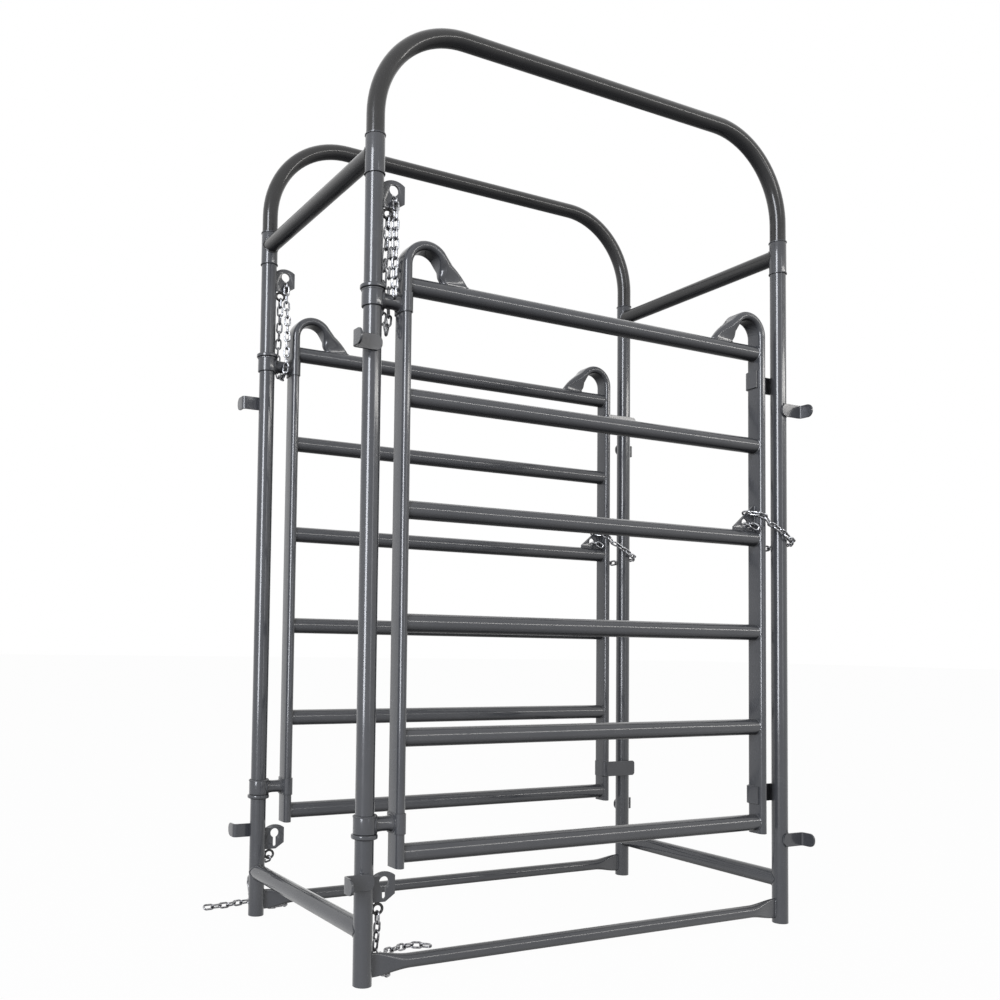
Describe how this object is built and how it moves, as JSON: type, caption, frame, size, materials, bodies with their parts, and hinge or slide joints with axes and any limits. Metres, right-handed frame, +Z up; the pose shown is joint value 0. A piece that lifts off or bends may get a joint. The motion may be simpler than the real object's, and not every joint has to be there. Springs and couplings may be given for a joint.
{
  "type": "livestock_sorting_gate",
  "caption": "Free-standing livestock sorting gate: a tubular alley frame with arched bows, a barred swing gate on each side, panel hooks, keyhole plates and latch chains",
  "frame": {"origin": "on the ground at the middle of the alley, between the four legs", "axes": "+X along the alley from the hinge legs to the latch legs, +Y from the near gate to the far gate, +Z up"},
  "size_m": [1.7646, 0.9841, 2.6111],
  "materials": {
    "frame_enamel": "glossy dark grey enamel",
    "chain_steel": "bright zinc plate"
  },
  "bodies": {
    "frame": {"near_hinge_leg": "frame_enamel", "near_hinge_sleeve": "frame_enamel", "near_hinge_lower_hook": "frame_enamel", "near_hinge_upper_hook": "frame_enamel", "near_latch_leg": "frame_enamel", "near_latch_sleeve": "frame_enamel", "near_latch_lower_hook": "frame_enamel", "near_latch_upper_hook": "frame_enamel", "near_arch": "frame_enamel", "near_sill": "frame_enamel", "near_lower_keyhole_plate": "frame_enamel", "near_upper_keyhole_plate": "frame_enamel", "far_hinge_leg": "frame_enamel", "far_hinge_sleeve": "frame_enamel", "far_hinge_lower_hook": "frame_enamel", "far_hinge_upper_hook": "frame_enamel", "far_latch_leg": "frame_enamel", "far_latch_sleeve": "frame_enamel", "far_latch_lower_hook": "frame_enamel", "far_latch_upper_hook": "frame_enamel", "far_arch": "frame_enamel", "far_sill": "frame_enamel", "far_lower_keyhole_plate": "frame_enamel", "far_upper_keyhole_plate": "frame_enamel", "hinge_end_top_tie": "frame_enamel", "hinge_end_bottom_tie": "frame_enamel", "latch_end_top_tie": "frame_enamel", "latch_end_bottom_tie": "frame_enamel", "near_upper_chain": "chain_steel", "far_upper_chain": "chain_steel", "near_lower_chain": "chain_steel", "far_lower_chain": "chain_steel"},
    "near_gate": {"near_gate_hinge_upright": "frame_enamel", "near_gate_latch_upright": "frame_enamel", "near_gate_rail_1": "frame_enamel", "near_gate_rail_2": "frame_enamel", "near_gate_rail_3": "frame_enamel", "near_gate_rail_4": "frame_enamel", "near_gate_rail_5": "frame_enamel", "near_gate_rail_6": "frame_enamel", "near_gate_lower_hinge": "frame_enamel", "near_gate_upper_hinge": "frame_enamel", "near_gate_lower_stop_plate": "frame_enamel", "near_gate_upper_stop_plate": "frame_enamel", "near_gate_latch_gusset": "frame_enamel", "near_gate_latch_chain": "chain_steel"},
    "far_gate": {"far_gate_hinge_upright": "frame_enamel", "far_gate_latch_upright": "frame_enamel", "far_gate_rail_1": "frame_enamel", "far_gate_rail_2": "frame_enamel", "far_gate_rail_3": "frame_enamel", "far_gate_rail_4": "frame_enamel", "far_gate_rail_5": "frame_enamel", "far_gate_rail_6": "frame_enamel", "far_gate_lower_hinge": "frame_enamel", "far_gate_upper_hinge": "frame_enamel", "far_gate_lower_stop_plate": "frame_enamel", "far_gate_upper_stop_plate": "frame_enamel", "far_gate_latch_gusset": "frame_enamel", "far_gate_latch_chain": "chain_steel"}
  },
  "joints": [
    {"name": "near_gate_hinge", "type": "hinge", "parent": "frame", "child": "near_gate", "pos_m": [-0.762, -0.381, 0], "axis": [0, 0, 1], "range_deg": [0, 12.5], "deforming": ["near_upper_chain", "near_gate_latch_chain"]},
    {"name": "far_gate_hinge", "type": "hinge", "parent": "frame", "child": "far_gate", "pos_m": [-0.762, 0.381, 0], "axis": [0, 0, 1], "range_deg": [-12.5, 0], "deforming": ["far_upper_chain", "far_gate_latch_chain"]}
  ]
}
